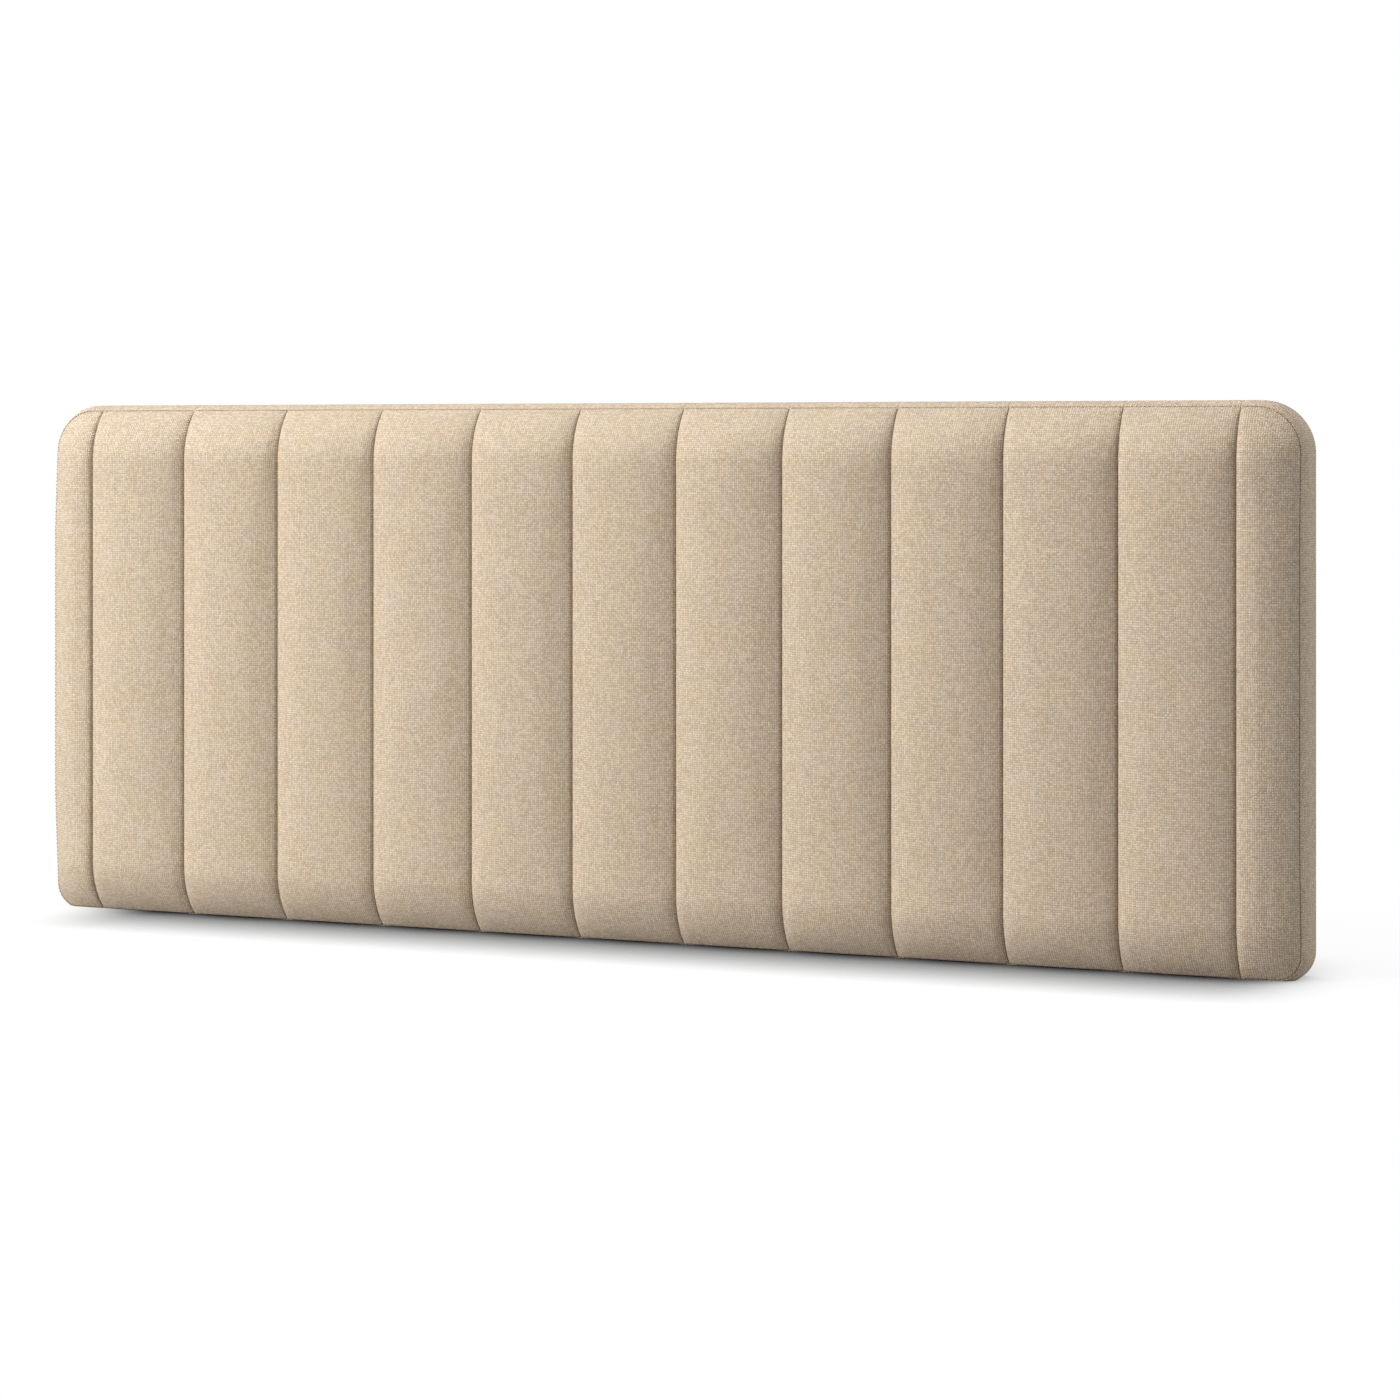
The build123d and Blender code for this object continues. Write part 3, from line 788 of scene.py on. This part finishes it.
def pull_lines(aside, lift):
    """Lines on the flanks beside the upright seams, where each stitch draws the cloth in; the dark
    beads laid on them are painted shade there.
    """
    lines, ways = [], []
    heights = seam_heights(6 * MM, 160)
    gap = 0.5 * MM
    for seam in SEAM_PLACES:
        x = seam + aside
        near = np.array([cover_row(z, np.array([x, x + gap])) for z in heights])
        lines.append([(x, y, z) for y, z in zip(near[:, 0] - lift, heights)])
        slope = (near[:, 1] - near[:, 0]) / gap
        ways.append(np.stack([np.ones_like(slope), slope, np.zeros_like(slope)], axis=1))
    return lines, ways


def rim_line(inset, depth):
    """A closed line round the perimeter seam, at an inset from the outline and a depth."""
    lowest = 0.4 * MM
    line = []
    for run in range(8):
        for part in np.linspace(0, 1, 40 if run % 2 else 200)[:-1]:
            x, z = ring_point(run, part, inset)
            line.append((x, PERIMETER_FRONT + depth, max(z, lowest)))
    line = np.array(line + line[:1])
    line[:, 1] -= end_bow(np.minimum(SEAM_TOP - line[:, 2], line[:, 2] - SEAM_BOTTOM))
    way = np.gradient(line, axis=0)
    way[0] = way[-1] = line[1] - line[-2]
    return [line], [way / np.linalg.norm(way, axis=1, keepdims=True)]


# Materials

class Signal:
    """A socket of a material's nodes. Sums on it add Math nodes."""

    def __init__(self, tree, socket=None):
        self.tree = tree
        self.socket = socket

    def node(self, kind, settings=None, inputs=None, output=0):
        """Adds a node: its settings are set first, then the values or links of its sockets."""
        made = self.tree.nodes.new(kind)
        for name, value in (settings or {}).items():
            if name == "stops":
                elements = made.color_ramp.elements
                while len(elements) < len(value):
                    elements.new(0.5)
                for element, (position, colour) in zip(elements, value):
                    element.position, element.color = position, (*colour, 1)
            else:
                setattr(made, name, value)
        for key, value in (inputs or {}).items():
            if isinstance(value, Signal):
                self.tree.links.new(value.socket, made.inputs[key])
            else:
                made.inputs[key].default_value = value
        return Signal(self.tree, made.outputs[output])

    def math(self, operation, *values):
        """A Math node with this signal in its first socket."""
        inputs = dict(enumerate((self, *values)))
        return self.node("ShaderNodeMath", {"operation": operation}, inputs)

    def __add__(self, other):
        return self.math("ADD", other)

    def __sub__(self, other):
        return self.math("SUBTRACT", other)

    def __mul__(self, other):
        return self.math("MULTIPLY", other)

    def __truediv__(self, other):
        return self.math("DIVIDE", other)

    def __rsub__(self, other):
        return self.node("ShaderNodeMath", {"operation": "SUBTRACT"}, {0: other, 1: self})

    __radd__ = __add__
    __rmul__ = __mul__


def material(name, **constants):
    """A material whose shader's sockets are set to constants, and a signal to build on."""
    made = bpy.data.materials.new(name)
    made.use_nodes = True
    shader = made.node_tree.nodes["Principled BSDF"]
    for key, value in constants.items():
        shader.inputs[key.replace("_", " ")].default_value = value
    return made, shader, Signal(made.node_tree)


def link(signal, shader, name):
    """Leads a signal into a socket of a shader."""
    signal.tree.links.new(signal.socket, shader.inputs[name])


def separated(start, vector):
    """The X, Y and Z of a vector as signals."""
    split = start.node("ShaderNodeSeparateXYZ", {}, {0: vector})
    outputs = split.socket.node.outputs
    return [Signal(start.tree, outputs[place]) for place in range(3)]


def blend_colour(start, factor, first, second, mode="MIX"):
    """Two colours mixed by a factor, or multiplied."""
    return start.node(
        "ShaderNodeMix", {"data_type": "RGBA", "blend_type": mode},
        {0: factor, 6: first, 7: second}, output=2,
    )


def noise(start, vector, scale, detail=2.0, roughness=0.5):
    """Cloudy noise, whose scale is its number of swells in a unit of its vector."""
    return start.node(
        "ShaderNodeTexNoise", {},
        {"Vector": vector, "Scale": scale, "Detail": detail, "Roughness": roughness},
    )


def combined(start, x, y, z=0.0):
    """A vector from its X, Y and Z."""
    return start.node("ShaderNodeCombineXYZ", {}, {0: x, 1: y, 2: z})


def own_place(start):
    """The place on an object, in metres from its origin."""
    return start.node("ShaderNodeTexCoord", output=3)


def ramp(start, factor, *stops):
    """A colour between stops, each of them a position and its colour."""
    return start.node("ShaderNodeValToRGB", {"stops": stops}, {0: factor})


def smooth_step(start, value, span, results):
    """Runs smoothly from one result to the other while a value crosses a span."""
    return start.node(
        "ShaderNodeMapRange", {"interpolation_type": "SMOOTHSTEP"},
        {
            "Value": value, "From Min": span[0], "From Max": span[1],
            "To Min": results[0], "To Max": results[1],
        },
    )


def raise_surface(start, shader, height, strength, distance):
    """Gives a surface a fine relief."""
    values = {"Strength": strength, "Distance": distance, "Height": height}
    link(start.node("ShaderNodeBump", {}, values), shader, "Normal")


def woven_fabric():
    """Plain-weave linen look: threads that pass over and under, each with its own tone."""
    made, shader, start = material(
        "cover_fabric", Roughness=0.92, Specular_IOR_Level=0.25,
        Sheen_Weight=0.12, Sheen_Roughness=0.5,
    )
    thread_pitch, thread_waver = 2.5 * MM, 0.9
    uv = start.node("ShaderNodeUVMap", {"uv_map": "cloth"})
    u, v, _ = separated(start, uv)
    waver = noise(start, uv, 60.0, 2.0)
    waver_across = noise(start, combined(start, v, u), 57.0, 2.0)
    warp_place = u / thread_pitch + (waver - 0.5) * thread_waver
    weft_place = v / thread_pitch + (waver_across - 0.5) * thread_waver
    warp_number, weft_number = warp_place.math("FLOOR"), weft_place.math("FLOOR")
    warp_round = ((warp_place - warp_number - 0.5) * pi).math("COSINE")
    weft_round = ((weft_place - weft_number - 0.5) * pi).math("COSINE")
    parity = ((warp_number + weft_number) * 0.5).math("FRACT") * 4 - 1
    warp_height = warp_round * (parity * weft_round * 0.5 + 0.5)
    weft_height = weft_round * (0.5 - parity * warp_round * 0.5)
    height = warp_height.math("MAXIMUM", weft_height)
    warp_on_top = warp_height.math("GREATER_THAN", weft_height)

    # Each thread has its own tone, with thicker slubs, and each crossing shows a little of it
    warp_tone = noise(start, combined(start, warp_number * 3.7, v * 45), 1.0, 2.0, 0.6)
    weft_tone = noise(start, combined(start, u * 45, weft_number * 3.7, 9.0), 1.0, 2.0, 0.6)
    streak = warp_tone * warp_on_top + weft_tone * (1 - warp_on_top)
    slub = noise(start, combined(start, u * 330, v * 14), 1.0)
    slub = slub + noise(start, combined(start, u * 14, v * 330, 5.0), 1.0)
    knot = start.node(
        "ShaderNodeTexWhiteNoise", {"noise_dimensions": "2D"},
        {"Vector": combined(start, warp_number, weft_number)},
    )
    cloud = noise(start, uv, 12.0, 3.0, 0.55)
    fibre = noise(start, uv, 1300.0, 1.0)
    tone = 0.5
    for part, mean, share in (
        (streak, 0.5, 0.22), (knot, 0.5, 0.24), (slub, 1.0, 0.06), (cloud, 0.5, 0.05),
        (fibre, 0.5, 1.35),
    ):
        tone = tone + (part - mean) * share
    colour = ramp(
        start, tone,
        (0.15, (0.35, 0.27, 0.187)), (0.5, (0.592, 0.476, 0.357)), (0.85, (0.80, 0.685, 0.56)),
    )

    # Slow drift of the tint, and painted shade that darkens the gaps between the threads
    tint = noise(start, combined(start, u, v, 4.0), 30.0, 4.0, 0.65)
    tint = ramp(start, tint, (0.38, (1.0, 0.985, 0.925)), (0.62, (1.0, 0.99, 1.0)))
    colour = blend_colour(start, 1.0, colour, tint, "MULTIPLY")
    shaded = height.math("POWER", 0.8) * 0.64 + 0.6
    painted_shade_grey = combined(start, shaded, shaded, shaded)
    colour = blend_colour(start, 1.0, colour, painted_shade_grey, "MULTIPLY")
    link(colour, shader, "Base Color")
    raise_surface(start, shader, height + tone * 0.5 + fibre * 0.8, 0.85, 0.7 * MM)
    return made


def grained_wood(name, dark, light, squeeze):
    """Wood whose grain runs along the axis that is squeezed least."""
    made, shader, start = material(name, Roughness=0.7)
    place = start.node("ShaderNodeMapping", {}, {"Vector": own_place(start), "Scale": squeeze})
    rings = noise(start, place, 18.0, 6.0, 0.62)
    link(ramp(start, rings, (0.3, dark), (0.7, light)), shader, "Base Color")
    raise_surface(start, shader, rings, 0.25, 0.4 * MM)
    return made


def plated_steel():
    """Dull plating, a little cloudy."""
    made, shader, start = material("plated_steel", Metallic=1.0)
    cloud = noise(start, own_place(start), 300.0, 3.0)
    colour = ramp(start, cloud, (0.3, (0.46, 0.45, 0.42)), (0.7, (0.68, 0.67, 0.64)))
    link(colour, shader, "Base Color")
    link(cloud * 0.25 + 0.28, shader, "Roughness")
    return made


def sewing_thread(name, shade):
    """Twisted thread: shade 1 has the fabric's tone, and less is darker; the darkest stands in for
    painted shade.
    """
    made, shader, start = material(name, Roughness=0.6, Sheen_Weight=0.1)
    twist = noise(start, own_place(start), 2500.0, 1.0)
    dark, light = (
        tuple(value * shade for value in tone) for tone in ((0.42, 0.33, 0.22), (0.62, 0.51, 0.36))
    )
    link(ramp(start, twist, (0.3, dark), (0.7, light)), shader, "Base Color")
    raise_surface(start, shader, twist, 0.5, 0.1 * MM)
    return made


def backing_cloth():
    """Thin black spunbond with a fine pattern of cells."""
    made, shader, start = material("backing_cloth", Roughness=0.85)
    place = own_place(start)
    fibres = noise(start, place, 900.0, 3.0, 0.7)
    cells = start.node("ShaderNodeTexVoronoi", {}, {"Vector": place, "Scale": 700.0})
    colour = ramp(start, fibres, (0.3, (0.012, 0.012, 0.013)), (0.75, (0.045, 0.045, 0.047)))
    link(colour, shader, "Base Color")
    raise_surface(start, shader, fibres + cells, 0.4, 0.2 * MM)
    return made


def padding_foam():
    """Cream foam with open pores."""
    made, shader, start = material("padding_foam", Roughness=0.95)
    pores = start.node("ShaderNodeTexVoronoi", {}, {"Vector": own_place(start), "Scale": 900.0})
    colour = ramp(start, pores, (0.0, (0.55, 0.48, 0.30)), (0.5, (0.80, 0.74, 0.55)))
    link(colour, shader, "Base Color")
    raise_surface(start, shader, pores, 0.5, 0.4 * MM)
    return made


def finish(piece, made):
    """Puts a material on a piece."""
    piece.data.materials.clear()
    piece.data.materials.append(made)


# Pieces

fabric = woven_fabric()
timber = grained_wood("frame_timber", (0.42, 0.27, 0.13), (0.66, 0.48, 0.28), (1, 6, 6))
plywood = grained_wood("plywood", (0.36, 0.23, 0.11), (0.60, 0.43, 0.25), (6, 1, 1))
steel = plated_steel()
backing = backing_cloth()
foam = padding_foam()
thread = sewing_thread("sewing_thread", 0.8)
# This very dark thread is painted shade where the stitches draw the cloth in
pull_shade_thread = sewing_thread("painted_pull_shade", 0.3)

move_at = settled_cover()
for number in range(1, CHANNELS + 1):
    pad = channel(number, move_at)
    finish(pad, fabric)
    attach(pad, "root")
    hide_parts(f"channel_cover_{number:02d}", f"channel_foam_{number:02d}")

for place, runs in {"bottom": (0,), "right": (1, 2, 3), "top": (4,), "left": (5, 6, 7)}.items():
    band = band_piece(f"{place}_boxing", runs)
    finish(band, fabric)
    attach(band, "root")
    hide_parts(f"{place}_cover_band", f"{place}_edge_foam")

tree = stitch_tree()
seam_lines, seam_ways = channel_seam_lines(SEAM_THREAD_DEPTH)
ladder = stitches("seam_stitches", tree, seam_lines, seam_ways, SEAM_THREAD, thread)
rim_lines, rim_ways = rim_line(EDGE_THREAD_INSET, EDGE_THREAD_DEPTH)
rim = stitches("edge_stitches", tree, rim_lines, rim_ways, EDGE_THREAD, thread)
pull_shade_lines, pull_shade_ways = pull_lines(PULL_SHADE_BEAD_ASIDE, PULL_SHADE_BEAD_LIFT)
pull_shades = stitches("painted_pull_shades", tree, pull_shade_lines, pull_shade_ways, PULL_SHADE_BEAD, pull_shade_thread)
for row in (ladder, rim, pull_shades):
    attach(row, "root")

slab = foam_slab()
finish(slab, foam)
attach(slab, "root")
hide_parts("base_foam")

sheet, flat_size = dust_sheet()
finish(sheet, backing)
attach(sheet, "root")
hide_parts("dust_cover")

for name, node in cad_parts.items():
    if name.endswith(("rail", "stile", "upright", "corner_block", "dowels")):
        finish(node, timber)
    elif name == "facing_board":
        finish(node, plywood)
    elif name.endswith(("screws", "staples", "nuts")):
        finish(node, steel)


# Floor, light and camera

def seen_directly(start):
    """One for what the camera sees, also in metal or through glass, and else nothing."""
    path = start.node("ShaderNodeLightPath")
    camera_ray, glossy, transmission = (
        Signal(start.tree, path.socket.node.outputs[name])
        for name in ("Is Camera Ray", "Is Glossy Ray", "Is Transmission Ray")
    )
    return (camera_ray + glossy + transmission).math("MINIMUM", 1.0)


def studio_floor():
    """A white floor that keeps the lamps' shadow and a painted shadow near the object, and is plain
    white further out.
    """
    bpy.ops.mesh.primitive_plane_add(size=14, location=(0, 0, 0))
    floor = bpy.context.object
    floor.name = "floor"
    made, shader, start = material("floor", Roughness=1.0, Specular_IOR_Level=0.0)
    seen = seen_directly(start)
    # Painted shadow: occlusion near the object darkens the floor's colour and its white glow, less
    # past the ends
    open_sky = start.node(
        "ShaderNodeAmbientOcclusion", {"samples": 8}, {"Distance": SHADOW_REACH}, output=1
    )
    x, y, _ = separated(start, own_place(start))
    past_right = smooth_step(start, x, SHADOW_FADE_RIGHT, (1.0, 0.0))
    past_left = smooth_step(start, -1 * x, SHADOW_FADE_LEFT, (1.0, 0.0))
    painted_shadow = 1 - (1 - open_sky.math("POWER", SHADOW_POWER)) * past_right * past_left
    painted_shade_grey = combined(start, painted_shadow, painted_shadow, painted_shadow)
    colour = blend_colour(start, seen, (FLOOR_GREY, FLOOR_GREY, FLOOR_GREY, 1), painted_shade_grey)
    link(colour, shader, "Base Color")
    along = x * WHITE_SQUEEZE
    away = (along * along + y * y).math("SQRT")
    far = smooth_step(start, away, (WHITE_NEAR, WHITE_FAR), (WHITE_SHARE_NEAR, 1.0))
    white = start.node("ShaderNodeEmission", {}, {"Color": painted_shade_grey, "Strength": 1.0})
    near = Signal(made.node_tree, shader.outputs[0])
    both = start.node("ShaderNodeMixShader", {}, {0: far * seen, 1: near, 2: white})
    made.node_tree.links.new(both.socket, made.node_tree.nodes["Material Output"].inputs["Surface"])
    floor.data.materials.append(made)


def soft_box(name, place, target, size, power):
    """A rectangular lamp at a place, turned to a target."""
    lamp = bpy.data.lights.new(name, "AREA")
    lamp.shape = "RECTANGLE"
    lamp.size, lamp.size_y = size
    lamp.energy = power
    light = bpy.data.objects.new(name, lamp)
    light.location = place
    light.rotation_euler = (Vector(target) - Vector(place)).to_track_quat("-Z", "Y").to_euler()
    bpy.context.scene.collection.objects.link(light)


def studio_world():
    """White to the camera, and an even fill for everything else."""
    world = bpy.data.worlds.new("studio")
    bpy.context.scene.world = world
    world.use_nodes = True
    start = Signal(world.node_tree)
    strength = seen_directly(start) * (1 - FILL) + FILL
    background = world.node_tree.nodes["Background"]
    background.inputs["Color"].default_value = (1, 1, 1, 1)
    link(strength, background, "Strength")


studio_floor()
for name, (place, target, size, power) in LAMPS.items():
    soft_box(name, place, target, size, power)
studio_world()

camera_data = bpy.data.cameras.new("camera")
camera_data.sensor_width = 36
camera_data.lens = camera_data.sensor_width * FOCAL_PIXELS / PICTURE_WIDTH
camera_data.shift_y = SHIFT_PIXELS / PICTURE_WIDTH
camera = bpy.data.objects.new("camera", camera_data)
camera.location = CAMERA_PLACE
camera.rotation_euler = (radians(90), 0, CAMERA_YAW)
bpy.context.scene.collection.objects.link(camera)
bpy.context.scene.camera = camera
bpy.context.scene.view_settings.view_transform = "Standard"
